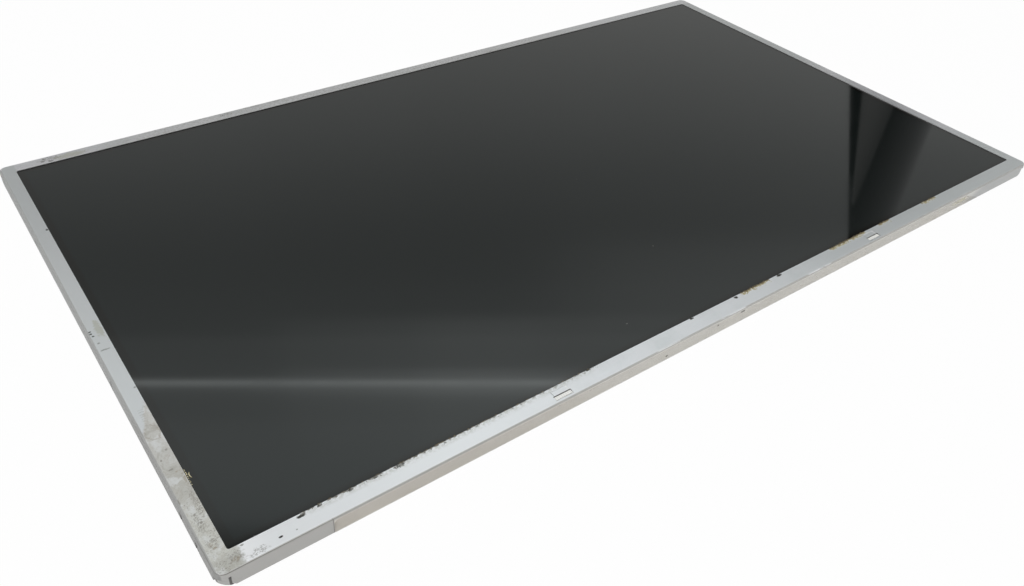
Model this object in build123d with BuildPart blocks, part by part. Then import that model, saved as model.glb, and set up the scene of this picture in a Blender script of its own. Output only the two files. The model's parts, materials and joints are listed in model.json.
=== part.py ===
from build123d import *
import os

# Laptop screen panel: an LED-backlit display module in a folded sheet-metal bezel, lying face up.
# X runs along the long edges, +Y points to the top edge of the picture, +Z comes out of the screen.
# The origin is under the middle of the outline, on the plane that the back rests on.
# "Near" is the lower edge of the picture, where the driver films and the board are; "far" is the top edge.

# Picture area, the black rim round it and the metal borders round the window
active_width = 344.23
active_height = 193.54
black_rim_x = 2.335
black_rim_y = 2.08
border_side = 5.2
border_far = 5.45
border_near = 6.25

# Thicknesses, from the back to the front
cover_film_thickness = 0.1
component_room = 1.13
board_thickness = 0.5
board_tape_thickness = 0.05
reflector_thickness = 0.2
guide_thickness = 0.7
diffuser_thickness = 0.1
prism_thickness = 0.14
ledge_thickness = 0.5
rim_tape_thickness = 0.08
polarizer_thickness = 0.18
glass_thickness = 0.4
sheet_metal = 0.3

# Bezel: bends, corners, clip slots, pressed tabs and the notches in its walls
bend_radius = 0.6
corner_radius = 2.8
window_corner = 0.4
slot_left_x = -75.1
slot_right_x = 73.4
slot_length = 6.3
slot_width = 1.65
slot_setback = 4.15
tab_length = 5.4
tab_width = 1.9
tab_depth = 0.15
tab_gap = 0.2
relief_depth = 2.0
relief_slit = 0.5
flag_length = 1.0
flag_height = 0.6
foot_chamfer = 0.9
hook_near_y = -91.0
hook_far_y = -80.9
hook_length = 1.8
hook_height = 1.2

# Moulded frame
fit_gap = 0.1
side_wall = 2.3
near_wall = 1.95
driver_gap = 0.9
pad_inset = 0.05
pad_corner = 5.0
pad_gap = 0.35
web_length = 5.0
lug_height = 0.2
lug_gap = 0.25
lamp_gap = 0.05

# Display cell
cell_gap = 0.25
bonding_ledge = 2.0
polarizer_overlap = 0.65
light_reveal = 0.6
rim_tape_reveal = 0.3

# Backlight
guide_margin = 2.0
guide_margin_near = 2.2
guide_gap = 0.35
sheet_inset = 0.15
ear_length = 8.0
ear_reach = 1.0
ear_spacing = 220.0
reflector_margin = 2.2
reflector_gap = 0.3
reflector_tape_thickness = 0.05
reflector_tape_inset = 0.2
led_count = 48
led_end_gap = 5.8
led_length = 3.0
led_depth = 1.0
flex_thickness = 0.12
flex_overlap = 0.9
flex_end = 2.5
channel_sheet = 0.2
channel_reach = 1.2
tail_width = 10.0
tail_bend = 0.35
tail_room = 1.2

# Side brackets with tapped holes for M2 screws
bracket_sheet = 0.5
bracket_height = 4.2
bracket_foot = 2.4
bracket_margin = 16.0
bracket_gap = 0.1
screw_near_y = -27.2
screw_far_y = 52.8
screw_height = 2.6
tap_radius = 0.8
boss_radius = 1.5
boss_length = 1.3
screw_clearance_radius = 1.3

# Driver board, driver films and the cover film
film_left_gap = 29.95
film_right_gap = 35.95
film_slant = 11.0
film_top_gap = 0.65
film_slope = 3.0
film_bond = 4.0
film_margin = 2.0
film_cutout = 1.5
film_corner = 1.2
board_depth = 14.0
board_end_gap = 2.5
board_gap = 0.4
board_tape_inset = 0.8
driver_count = 4
driver_end_gap = 4.2
driver_film_width = 34.0
driver_film_thickness = 0.06
driver_film_bend = 0.4
driver_film_bond = 1.25
driver_film_gap = 0.8
driver_film_clearance = 0.06
driver_chip_length = 17.0
driver_chip_width = 1.4
driver_chip_height = 0.32
driver_chip_setback = 1.2

# Parts on the board: sides, heights and places along it from its middle
controller_side = 10.0
controller_height = 0.85
controller_x = -15.0
memory_length = 3.0
memory_width = 2.0
memory_height = 0.55
memory_x = -1.0
power_side = 4.0
power_height = 0.75
power_x = 75.0
backlight_side = 4.0
backlight_height = 0.75
backlight_x = -69.0
boost_side = 5.0
boost_height = 0.95
boost_x = -61.0
logic_side = 3.2
logic_height = 0.9
logic_x = 82.0
chip_bevel = 0.1
inductor_corner = 0.7
capacitor_length = 1.6
capacitor_width = 0.8
capacitor_height = 0.8
capacitor_count = 40
capacitor_pitch = 4.0
capacitor_row_x = -27.0
capacitor_row_y = 4.6
chip_row_y = -1.0

# Display socket on the board, with its mouth to the far side, and the socket of the LED strip's tail
socket_end_gap = 29.2
pin_count = 40
pin_pitch = 0.5
pin_width = 0.22
pin_thickness = 0.1
pin_tail = 0.6
socket_depth = 3.8
socket_end = 2.0
socket_height = 0.83
shell_sheet = 0.12
mouth_height = 0.4
mouth_depth = 2.6
mouth_margin = 0.5
pin_inset = 0.3
tail_end_gap = 57.2
tail_socket_setback = 0.4
tail_socket_depth = 3.4
tail_socket_end = 1.0
tail_socket_height = 0.85
tail_entry = 1.6
tail_slot_gap = 0.1

# Levels, upwards from the back
board_back = cover_film_thickness + component_room
board_front = board_back + board_thickness
reflector_back = board_front + board_tape_thickness
guide_back = reflector_back + reflector_thickness
guide_front = guide_back + guide_thickness
lower_prism_back = guide_front + diffuser_thickness
upper_prism_back = lower_prism_back + prism_thickness
upper_diffuser_back = upper_prism_back + prism_thickness
ledge_back = upper_diffuser_back + diffuser_thickness
ledge_front = ledge_back + ledge_thickness
rear_polarizer_back = ledge_front + rim_tape_thickness
tft_back = rear_polarizer_back + polarizer_thickness
tft_front = tft_back + glass_thickness
color_front = tft_front + glass_thickness
bezel_back = color_front + polarizer_thickness
panel_thickness = bezel_back + sheet_metal
bezel_foot = cover_film_thickness

# Outline, window and picture area in plan
opening_width = active_width + 2 * black_rim_x
opening_height = active_height + 2 * black_rim_y
outline_width = opening_width + 2 * border_side
bezel_height = opening_height + border_near + border_far
bezel_near = cover_film_thickness - (bezel_height + cover_film_thickness) / 2
bezel_far = bezel_near + bezel_height
bezel_mid_y = (bezel_near + bezel_far) / 2
opening_near = bezel_near + border_near
opening_far = bezel_far - border_far
active_near = opening_near + black_rim_y
active_far = opening_far - black_rim_y

# Frame and display cell in plan
frame_x = outline_width / 2 - sheet_metal - fit_gap
frame_far = bezel_far - sheet_metal - fit_gap
frame_near = bezel_near + sheet_metal + driver_gap
pocket_x = frame_x - side_wall
pocket_far = frame_far - side_wall
pocket_near = frame_near + near_wall
glass_x = pocket_x - cell_gap
glass_far = pocket_far - cell_gap
tft_near = pocket_near + cell_gap
color_near = tft_near + bonding_ledge
polarizer_x = opening_width / 2 + polarizer_overlap
polarizer_far = opening_far + polarizer_overlap
polarizer_near = opening_near - polarizer_overlap
light_x = active_width / 2 + light_reveal
light_far = active_far + light_reveal
light_near = active_near - light_reveal

# Backlight in plan
guide_x = active_width / 2 + guide_margin
guide_far = active_far + guide_margin
guide_near = active_near - guide_margin_near
sheet_near = guide_near + flex_overlap + sheet_inset
led_far = guide_near - lamp_gap
led_near = led_far - led_depth
channel_near = led_near - lamp_gap - channel_sheet
channel_far = guide_near + channel_reach
rail_inner = channel_near - fit_gap
reflector_x = guide_x + reflector_margin
reflector_far = guide_far + reflector_margin
reflector_near = channel_far + fit_gap
tail_turn_y = rail_inner - tail_room / 2
led_row = 2 * (guide_x - led_end_gap)
led_pitch = (led_row - led_length) / (led_count - 1)

# Board and driver films in plan
film_left_x = film_left_gap - outline_width / 2
film_right_x = outline_width / 2 - film_right_gap
board_left = film_left_x + board_end_gap
board_right = film_right_x - board_end_gap
board_near = reflector_near + board_gap
board_far = board_near + board_depth
board_mid_x = (board_left + board_right) / 2
board_mid_y = (board_near + board_far) / 2
driver_start = board_left + driver_end_gap + driver_film_width / 2
driver_pitch = (board_mid_x - driver_start) * 2 / (driver_count - 1)
driver_places = [driver_start + i * driver_pitch for i in range(driver_count)]
tail_x = board_left + tail_end_gap
socket_x = board_right - socket_end_gap
driver_turn_y = frame_near - driver_gap / 2
rail_back = board_back + driver_film_clearance
slot_y = opening_near - slot_setback
slot_places = [(slot_left_x, slot_y), (slot_right_x, slot_y)]
screw_places = [(screw_near_y, screw_height), (screw_far_y, screw_height)]
tail_socket_near = board_near + tail_socket_setback
bracket_near = screw_near_y - bracket_margin
bracket_far = screw_far_y + bracket_margin

os.makedirs("parts", exist_ok=True)


def rectangle_between(x_low, x_high, y_low, y_high, mode=Mode.ADD):
    """Add a rectangle with these limits to the sketch that is being drawn."""
    with Locations(((x_low + x_high) / 2, (y_low + y_high) / 2)):
        Rectangle(x_high - x_low, y_high - y_low, mode=mode)


def save(piece, node):
    """Label a finished piece with its node's name and write it to a file of its own."""
    piece.part.label = node
    export_step(piece.part, f"parts/{node}.step")


def flat_layer(node, half_width, y_low, y_high, back, thickness):
    """Make one plain rectangular layer of the stack."""
    with BuildPart() as layer:
        with BuildSketch(Plane.XY.offset(back)):
            rectangle_between(-half_width, half_width, y_low, y_high)
        extrude(amount=thickness)
    save(layer, node)


# Front bezel: drawn from one sheet, with a bend all round and walls that reach to the back
relief_top = panel_thickness - relief_depth
relief_side = corner_radius + relief_slit
with BuildPart() as front_bezel:
    with BuildSketch(Plane.XY.offset(bezel_foot)):
        with Locations((0, bezel_mid_y)):
            RectangleRounded(outline_width, bezel_height, corner_radius)
    extrude(amount=panel_thickness - bezel_foot)
    fillet(front_bezel.edges().group_by(Axis.Z)[-1], bend_radius)
    offset(amount=-sheet_metal, openings=front_bezel.faces().sort_by(Axis.Z)[0])
    # Pressed tabs between the clip slots and the window: lower on both faces of the sheet
    tab_y = slot_y + slot_width / 2 + tab_gap + tab_width / 2
    tab_places = [(slot_left_x, tab_y), (slot_right_x, tab_y)]
    with BuildSketch(Plane.XY.offset(bezel_back - tab_depth)):
        with Locations(*tab_places):
            Rectangle(tab_length, tab_width)
    extrude(amount=tab_depth)
    with BuildSketch(Plane.XY.offset(panel_thickness - tab_depth)):
        with Locations(*tab_places):
            Rectangle(tab_length, tab_width)
    extrude(amount=tab_depth, mode=Mode.SUBTRACT)
    # Window and clip slots
    with BuildSketch(Plane.XY.offset(bezel_back)):
        with Locations((0, (opening_near + opening_far) / 2)):
            window = Rectangle(opening_width, opening_height)
        chamfer(window.vertices(), window_corner)
        with Locations(*slot_places):
            Rectangle(slot_length, slot_width)
    extrude(amount=sheet_metal, mode=Mode.SUBTRACT)
    # Corner reliefs low in the walls, with the walls' free ends bevelled and a small notch over each slit
    with BuildSketch(Plane.XY.offset(bezel_foot)):
        with Locations((0, bezel_mid_y)):
            with GridLocations(outline_width - relief_side, bezel_height - relief_side, 2, 2):
                Rectangle(relief_side, relief_side)
    extrude(amount=relief_top - bezel_foot, mode=Mode.SUBTRACT)
    foot_edges = front_bezel.edges().group_by(Axis.Z)[0]
    chamfer(foot_edges.filter_by(lambda edge: edge.length < 2 * sheet_metal), foot_chamfer)
    with BuildSketch(Plane.XY.offset(relief_top)):
        with Locations((0, bezel_mid_y)):
            with GridLocations(outline_width - 2 * relief_side + flag_length, bezel_height, 2, 2):
                Rectangle(flag_length, 2 * relief_slit + 2 * sheet_metal)
    extrude(amount=flag_height, mode=Mode.SUBTRACT)
    # Notches at the foot of the side walls, and clearance holes for the side screws
    hook_mid_y = (hook_near_y + hook_far_y) / 2
    hook_pitch = hook_far_y - hook_near_y
    with BuildSketch(Plane.XY.offset(bezel_foot)):
        with Locations((0, hook_mid_y)):
            with GridLocations(outline_width, hook_pitch, 2, 2):
                Rectangle(2 * sheet_metal + 2 * fit_gap, hook_length)
    extrude(amount=hook_height, mode=Mode.SUBTRACT)
    with BuildSketch(Plane.YZ):
        with Locations(*screw_places):
            Circle(screw_clearance_radius)
    extrude(amount=outline_width, both=True, mode=Mode.SUBTRACT)
save(front_bezel, "front_bezel")

# Display cell: two glasses between two polarizers, on a ring of tape
flat_layer("front_polarizer", polarizer_x, polarizer_near, polarizer_far, color_front, polarizer_thickness)
flat_layer("color_filter_glass", glass_x, color_near, glass_far, tft_front, glass_thickness)
flat_layer("tft_glass", glass_x, tft_near, glass_far, tft_back, glass_thickness)
flat_layer(
    "rear_polarizer", polarizer_x, polarizer_near, polarizer_far, rear_polarizer_back, polarizer_thickness
)

with BuildPart() as rim_tape:
    with BuildSketch(Plane.XY.offset(ledge_front)):
        rectangle_between(-polarizer_x, polarizer_x, polarizer_near, polarizer_far)
        rectangle_between(
            -light_x - rim_tape_reveal,
            light_x + rim_tape_reveal,
            light_near - rim_tape_reveal,
            light_far + rim_tape_reveal,
            mode=Mode.SUBTRACT,
        )
    extrude(amount=rim_tape_thickness)
save(rim_tape, "rim_tape")

# Moulded frame: a ring with a ledge that carries the cell in front and holds the backlight behind
rear_ledge = guide_back + reflector_tape_thickness
frame_corner = corner_radius - sheet_metal - fit_gap
frame_chamfer = bend_radius - sheet_metal + fit_gap
with BuildPart() as mould_frame:
    with BuildSketch(Plane.XY):
        with Locations((0, (frame_near + frame_far) / 2)):
            RectangleRounded(2 * frame_x, frame_far - frame_near, frame_corner)
    extrude(amount=bezel_back)
    chamfer(mould_frame.edges().group_by(Axis.Z)[-1], frame_chamfer)
    # Corner pads in the bezel's reliefs, rounder than the bezel's own corners
    with BuildSketch(Plane.XY):
        with Locations((0, bezel_mid_y)):
            with GridLocations(outline_width - corner_radius, bezel_height - corner_radius, 2, 2):
                Rectangle(corner_radius, corner_radius)
        # Webs that close the view through the slits at the near corners
        for end in (-1, 1):
            web_end = end * (frame_x - web_length)
            web_sides = sorted((end * frame_x, web_end))
            rectangle_between(*web_sides, bezel_near + sheet_metal + fit_gap, frame_near + fit_gap)
    extrude(amount=relief_top - pad_gap)
    pad_width = outline_width - 2 * pad_inset
    pad_height = bezel_height - 2 * pad_inset
    with BuildSketch(Plane.XY):
        with Locations((0, bezel_mid_y)):
            Rectangle(outline_width, bezel_height)
            RectangleRounded(pad_width, pad_height, pad_corner, mode=Mode.SUBTRACT)
    extrude(amount=relief_top - pad_gap, mode=Mode.SUBTRACT)
    # Pocket for the cell, and the light window through the ledge
    with BuildSketch(Plane.XY.offset(ledge_front)):
        rectangle_between(-pocket_x, pocket_x, pocket_near, pocket_far)
    extrude(amount=bezel_back - ledge_front, mode=Mode.SUBTRACT)
    with BuildSketch(Plane.XY.offset(ledge_back)):
        rectangle_between(-light_x, light_x, light_near, light_far)
    extrude(amount=ledge_thickness, mode=Mode.SUBTRACT)
    # Pocket for the guide and its sheets, with notches for the sheets' ears
    with BuildSketch(Plane.XY):
        rectangle_between(-guide_x - guide_gap, guide_x + guide_gap, rail_inner, guide_far + guide_gap)
        with Locations((0, guide_far)):
            with GridLocations(ear_spacing, 0, 2, 1):
                Rectangle(ear_length + 2 * guide_gap, 2 * (ear_reach + guide_gap))
    extrude(amount=ledge_back, mode=Mode.SUBTRACT)
    # Wider recess at the back, where the reflector is taped to the frame
    recess_x = reflector_x + reflector_gap
    recess_far = reflector_far + reflector_gap
    with BuildSketch(Plane.XY):
        rectangle_between(-recess_x, recess_x, rail_inner, recess_far)
    extrude(amount=rear_ledge, mode=Mode.SUBTRACT)
    # Room behind the near rail for the driver films, and passages for them over its front
    with BuildSketch(Plane.XY):
        rectangle_between(-recess_x, recess_x, frame_near, rail_inner)
    extrude(amount=rail_back, mode=Mode.SUBTRACT)
    with BuildSketch(Plane.XY.offset(tft_front - driver_film_clearance)):
        with Locations(*[(x, (frame_near + pocket_near) / 2) for x in driver_places]):
            Rectangle(driver_film_width + 2 * driver_film_gap, 2 * near_wall)
    extrude(amount=bezel_back - tft_front + driver_film_clearance, mode=Mode.SUBTRACT)
    # Notch for the tail of the LED strip
    with BuildSketch(Plane.XY):
        with Locations((tail_x, rail_inner)):
            Rectangle(tail_width + 2 * driver_film_gap, 2 * tail_room)
    extrude(amount=ledge_back, mode=Mode.SUBTRACT)
    # Hollows under the bezel's pressed tabs, and lugs that stand in the clip slots
    with BuildSketch(Plane.XY.offset(bezel_back - tab_depth)):
        with Locations(*tab_places):
            Rectangle(tab_length + 2 * fit_gap, tab_width + 2 * fit_gap)
    extrude(amount=tab_depth, mode=Mode.SUBTRACT)
    with BuildSketch(Plane.XY.offset(bezel_back - frame_chamfer)):
        with Locations(*slot_places):
            Rectangle(slot_length - 2 * lug_gap, slot_width - 2 * lug_gap)
    extrude(amount=frame_chamfer + lug_height)
    # Seats for the side brackets and their bosses
    for side in (-1, 1):
        with BuildSketch(Plane.XY):
            with Locations((side * frame_x, (bracket_near + bracket_far) / 2)):
                Rectangle(2 * (bracket_sheet + bracket_gap), bracket_far - bracket_near + 2 * bracket_gap)
        extrude(amount=bracket_height + bracket_gap, mode=Mode.SUBTRACT)
        with BuildSketch(Plane.XY):
            with Locations((side * frame_x, (bracket_near + bracket_far) / 2)):
                Rectangle(2 * (bracket_foot + bracket_gap), bracket_far - bracket_near + 2 * bracket_gap)
        extrude(amount=bracket_sheet + bracket_gap, mode=Mode.SUBTRACT)
        with BuildSketch(Plane.YZ.offset(side * frame_x)):
            with Locations(*screw_places):
                Circle(boss_radius + bracket_gap)
        extrude(amount=-side * (bracket_sheet + boss_length + 2 * bracket_gap), mode=Mode.SUBTRACT)
save(mould_frame, "mould_frame")

# Sheets over the guide, each with two ears at the far edge
sheet_stack = [
    ("lower_diffuser_sheet", guide_front, diffuser_thickness),
    ("lower_prism_sheet", lower_prism_back, prism_thickness),
    ("upper_prism_sheet", upper_prism_back, prism_thickness),
    ("upper_diffuser_sheet", upper_diffuser_back, diffuser_thickness),
]
for node, back, thickness in sheet_stack:
    with BuildPart() as optical_sheet:
        with BuildSketch(Plane.XY.offset(back)):
            half_sheet = guide_x - sheet_inset
            rectangle_between(-half_sheet, half_sheet, sheet_near, guide_far - sheet_inset)
            with Locations((0, guide_far)):
                with GridLocations(ear_spacing, 0, 2, 1):
                    Rectangle(ear_length, 2 * ear_reach)
        extrude(amount=thickness)
    save(optical_sheet, node)

flat_layer("light_guide_plate", guide_x, guide_near, guide_far, guide_back, guide_thickness)
flat_layer("reflector_sheet", reflector_x, reflector_near, reflector_far, reflector_back, reflector_thickness)

with BuildPart() as reflector_tape:
    tape_outer = reflector_x - reflector_tape_inset
    tape_inner = guide_x + guide_gap + reflector_tape_inset
    tape_far = reflector_far - reflector_tape_inset
    tape_far_inner = guide_far + guide_gap + reflector_tape_inset
    with BuildSketch(Plane.XY.offset(guide_back)):
        rectangle_between(-tape_outer, tape_outer, reflector_near, tape_far)
        rectangle_between(-tape_inner, tape_inner, reflector_near, tape_far_inner, mode=Mode.SUBTRACT)
    extrude(amount=reflector_tape_thickness)
save(reflector_tape, "reflector_tape")

# LED row: packages against the guide's near edge, on a flex strip whose tail turns back to the board
with BuildPart() as led_packages:
    with BuildSketch(Plane.XY.offset(guide_back)):
        with Locations((0, (led_near + led_far) / 2)):
            with GridLocations(led_pitch, 0, led_count, 1):
                Rectangle(led_length, led_depth)
    extrude(amount=guide_thickness)
save(led_packages, "led_packages")

flex_middle = guide_front + flex_thickness / 2
tail_back = board_back - tail_socket_height / 2
with BuildPart() as led_flex_strip:
    with BuildSketch(Plane.XY.offset(guide_front)):
        half_row = led_row / 2 + flex_end
        rectangle_between(-half_row, half_row, led_near, guide_near + flex_overlap)
    extrude(amount=flex_thickness)
    with BuildSketch(Plane.YZ.offset(tail_x - tail_width / 2)):
        with BuildLine():
            FilletPolyline(
                (led_near, flex_middle),
                (tail_turn_y, flex_middle),
                (tail_turn_y, tail_back),
                (tail_socket_near + tail_entry, tail_back),
                radius=tail_bend,
            )
        trace(line_width=flex_thickness)
    extrude(amount=tail_width)
save(led_flex_strip, "led_flex_strip")

with BuildPart() as led_channel:
    half_channel = led_row / 2 + flex_end
    with BuildSketch(Plane.XY.offset(guide_back - channel_sheet)):
        rectangle_between(-half_channel, half_channel, channel_near, channel_far)
    extrude(amount=channel_sheet)
    with BuildSketch(Plane.XY.offset(guide_back)):
        rectangle_between(-half_channel, half_channel, channel_near, channel_near + channel_sheet)
        with Locations((tail_x, channel_near)):
            Rectangle(tail_width + 2 * driver_film_gap, 2 * channel_sheet, mode=Mode.SUBTRACT)
    extrude(amount=guide_thickness)
save(led_channel, "led_channel")

# Side brackets: folded steel strips with tapped bosses
with BuildPart() as left_side_bracket:
    with BuildSketch(Plane.XZ.offset(-bracket_far)):
        rectangle_between(-frame_x, bracket_sheet - frame_x, 0, bracket_height)
        rectangle_between(-frame_x, bracket_foot - frame_x, 0, bracket_sheet)
    extrude(amount=bracket_far - bracket_near)
    fillet(left_side_bracket.edges().filter_by(Axis.Y).group_by(Axis.Z)[0].sort_by(Axis.X)[0], bracket_sheet)
    with BuildSketch(Plane.YZ.offset(bracket_sheet - frame_x)):
        with Locations(*screw_places):
            Circle(boss_radius)
    extrude(amount=boss_length)
    with BuildSketch(Plane.YZ.offset(-frame_x)):
        with Locations(*screw_places):
            Circle(tap_radius)
    extrude(amount=bracket_sheet + boss_length, mode=Mode.SUBTRACT)
save(left_side_bracket, "left_side_bracket")

with BuildPart() as right_side_bracket:
    mirror(left_side_bracket.part, about=Plane.YZ)
save(right_side_bracket, "right_side_bracket")

# Driver board behind the near edge of the reflector, and the tape that holds it there
with BuildPart() as driver_board:
    with BuildSketch(Plane.XY.offset(board_back)):
        rectangle_between(board_left, board_right, board_near, board_far)
    extrude(amount=board_thickness)
save(driver_board, "driver_board")

with BuildPart() as board_tape:
    with BuildSketch(Plane.XY.offset(board_front)):
        rectangle_between(
            board_left + board_tape_inset,
            board_right - board_tape_inset,
            board_near + board_tape_inset,
            board_far - board_tape_inset,
        )
    extrude(amount=board_tape_thickness)
save(board_tape, "board_tape")

# Packaged parts in one row on the back of the board: name, place along it, length, width and height
chips = [
    ("timing_controller_chip", controller_x, controller_side, controller_side, controller_height),
    ("memory_chip", memory_x, memory_length, memory_width, memory_height),
    ("power_chip", power_x, power_side, power_side, power_height),
    ("backlight_driver_chip", backlight_x, backlight_side, backlight_side, backlight_height),
]
for node, along, length, width, height in chips:
    with BuildPart() as chip:
        with BuildSketch(Plane.XY.offset(board_back - height)):
            with Locations((board_mid_x + along, board_mid_y + chip_row_y)):
                Rectangle(length, width)
        extrude(amount=height)
        chamfer(chip.edges().group_by(Axis.Z)[0], chip_bevel)
    save(chip, node)

inductors = [
    ("boost_inductor", boost_x, boost_side, boost_height),
    ("logic_inductor", logic_x, logic_side, logic_height),
]
for node, along, side_length, height in inductors:
    with BuildPart() as inductor:
        with BuildSketch(Plane.XY.offset(board_back - height)):
            with Locations((board_mid_x + along, board_mid_y + chip_row_y)):
                Rectangle(side_length, side_length)
        extrude(amount=height)
        chamfer(inductor.edges().filter_by(Axis.Z), inductor_corner)
    save(inductor, node)

with BuildPart() as ceramic_capacitors:
    with BuildSketch(Plane.XY.offset(board_back - capacitor_height)):
        with Locations((board_mid_x + capacitor_row_x, board_mid_y + capacitor_row_y)):
            with GridLocations(capacitor_pitch, 0, capacitor_count, 1):
                Rectangle(capacitor_length, capacitor_width)
    extrude(amount=capacitor_height)
save(ceramic_capacitors, "ceramic_capacitors")

# Socket of the display cable: a moulded housing, a row of contacts and a folded metal shell
socket_far = board_far
socket_near = socket_far - socket_depth
socket_back = board_back - socket_height
pin_row = (pin_count - 1) * pin_pitch + pin_width
socket_half = pin_row / 2 + mouth_margin + socket_end
mouth_back = socket_back + (socket_height - mouth_height) / 2
pin_middle = mouth_back + mouth_height - pin_thickness / 2
pin_starts = [socket_x - pin_row / 2 + i * pin_pitch for i in range(pin_count)]
with BuildPart() as connector_contacts:
    with BuildSketch(*[Plane.YZ.offset(x) for x in pin_starts]):
        with BuildLine():
            Polyline(
                (socket_far - pin_inset, pin_middle),
                (socket_near - pin_tail / 2, pin_middle),
                (socket_near - pin_tail / 2, board_back - pin_thickness / 2),
                (socket_near - pin_tail, board_back - pin_thickness / 2),
            )
        trace(line_width=pin_thickness)
    extrude(amount=pin_width)
save(connector_contacts, "connector_contacts")

with BuildPart() as connector_housing:
    with BuildSketch(Plane.XY.offset(socket_back)):
        rectangle_between(socket_x - socket_half, socket_x + socket_half, socket_near, socket_far)
    extrude(amount=socket_height)
    mouth_half = pin_row / 2 + mouth_margin
    with BuildSketch(Plane.XY.offset(mouth_back)):
        rectangle_between(socket_x - mouth_half, socket_x + mouth_half, socket_far - mouth_depth, socket_far)
    extrude(amount=mouth_height, mode=Mode.SUBTRACT)
    add(connector_contacts.part, mode=Mode.SUBTRACT)
save(connector_housing, "connector_housing")

with BuildPart() as connector_shell:
    shell_half = socket_half + shell_sheet
    with BuildSketch(Plane.XZ.offset(-socket_far)):
        rectangle_between(socket_x - shell_half, socket_x + shell_half, socket_back - shell_sheet, board_back)
        rectangle_between(
            socket_x - socket_half, socket_x + socket_half, socket_back, board_back, mode=Mode.SUBTRACT
        )
    extrude(amount=socket_depth)
save(connector_shell, "connector_shell")

# Small socket that takes the tail of the LED strip
with BuildPart() as backlight_socket:
    with BuildSketch(Plane.XY.offset(board_back - tail_socket_height)):
        half_socket = tail_width / 2 + tail_socket_end
        tail_socket_far = tail_socket_near + tail_socket_depth
        rectangle_between(tail_x - half_socket, tail_x + half_socket, tail_socket_near, tail_socket_far)
    extrude(amount=tail_socket_height)
    with BuildSketch(Plane.XY.offset(tail_back - flex_thickness / 2 - tail_slot_gap)):
        half_slot = tail_width / 2 + tail_slot_gap
        slot_end = tail_socket_near + tail_entry + tail_slot_gap
        rectangle_between(tail_x - half_slot, tail_x + half_slot, tail_socket_near, slot_end)
    extrude(amount=flex_thickness + 2 * tail_slot_gap, mode=Mode.SUBTRACT)
save(backlight_socket, "backlight_socket")

# Driver films: bonded to the glass, turned over the frame's near rail and bonded to the board
film_front = tft_front + driver_film_thickness / 2
film_back = board_back - driver_film_thickness / 2
chip_near = board_near - driver_chip_setback - driver_chip_width
for number, x in enumerate(driver_places, start=1):
    with BuildPart() as driver_film:
        with BuildSketch(Plane.YZ.offset(x - driver_film_width / 2)):
            with BuildLine():
                FilletPolyline(
                    (tft_near + driver_film_bond, film_front),
                    (driver_turn_y, film_front),
                    (driver_turn_y, film_back),
                    (board_near + driver_film_bond, film_back),
                    radius=driver_film_bend,
                )
            trace(line_width=driver_film_thickness)
        extrude(amount=driver_film_width)
    save(driver_film, f"driver_film_{number}")

    with BuildPart() as driver_chip:
        with BuildSketch(Plane.XY.offset(board_back - driver_film_thickness - driver_chip_height)):
            half_chip = driver_chip_length / 2
            rectangle_between(x - half_chip, x + half_chip, chip_near, chip_near + driver_chip_width)
        extrude(amount=driver_chip_height)
    save(driver_chip, f"driver_chip_{number}")

# Cover film: up the near wall, flat over the board, then down to the reflector behind it
half_film = cover_film_thickness / 2
flat_far = board_far + film_margin
wall_top = panel_thickness - film_top_gap
with BuildPart() as board_cover_film:
    with BuildSketch(Plane.YZ.offset(film_left_x)):
        with BuildLine():
            Polyline(
                (bezel_near - half_film, wall_top),
                (bezel_near - half_film, half_film),
                (flat_far, half_film),
                (flat_far + film_slope, reflector_back - half_film),
                (flat_far + film_slope + film_bond, reflector_back - half_film),
            )
        trace(line_width=cover_film_thickness)
    extrude(amount=film_right_x - film_left_x)
    # Rounded left corner and slanting right end of the part on the wall
    corner_place = (film_left_x, bezel_near - half_film, wall_top)
    corner_edge = board_cover_film.edges().filter_by(Axis.Y).sort_by_distance(corner_place)[0]
    fillet(corner_edge, film_corner)
    with BuildSketch(Plane.XZ.offset(-bezel_near)):
        with BuildLine():
            Polyline(
                (film_right_x, wall_top),
                (film_right_x - film_slant, wall_top),
                (film_right_x, bezel_foot),
                close=True,
            )
        make_face()
    extrude(amount=cover_film_thickness, mode=Mode.SUBTRACT)
    # Cut-out that leaves the display socket free
    with BuildSketch(Plane.XY):
        cutout_half = shell_half + film_cutout
        rectangle_between(
            socket_x - cutout_half,
            socket_x + cutout_half,
            socket_near - pin_tail - film_cutout,
            flat_far + film_slope + 2 * film_bond,
        )
    extrude(amount=reflector_back, mode=Mode.SUBTRACT)
save(board_cover_film, "board_cover_film")
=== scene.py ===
"""Looks of a laptop screen panel that lies face up: finishes, wear and soiling, studio and camera.

Sizes on the part are millimetres in the CAD frame: x along the long edge, y away from the wide border, z up.
"""

import json
import math
import random

import bmesh
import bpy
from mathutils import Matrix, Vector, noise


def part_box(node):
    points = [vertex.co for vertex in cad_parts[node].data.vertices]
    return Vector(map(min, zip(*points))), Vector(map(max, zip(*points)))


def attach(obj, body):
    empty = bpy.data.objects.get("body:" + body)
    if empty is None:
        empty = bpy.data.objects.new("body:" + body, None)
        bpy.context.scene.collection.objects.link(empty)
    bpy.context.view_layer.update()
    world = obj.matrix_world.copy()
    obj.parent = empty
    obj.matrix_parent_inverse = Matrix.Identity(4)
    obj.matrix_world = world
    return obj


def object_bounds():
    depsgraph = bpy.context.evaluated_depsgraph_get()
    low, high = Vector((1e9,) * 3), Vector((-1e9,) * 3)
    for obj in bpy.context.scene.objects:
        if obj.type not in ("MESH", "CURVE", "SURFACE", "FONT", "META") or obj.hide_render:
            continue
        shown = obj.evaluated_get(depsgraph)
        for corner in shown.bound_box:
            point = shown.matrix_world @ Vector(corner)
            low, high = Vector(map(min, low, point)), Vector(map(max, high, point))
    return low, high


MM = 0.001

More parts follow.
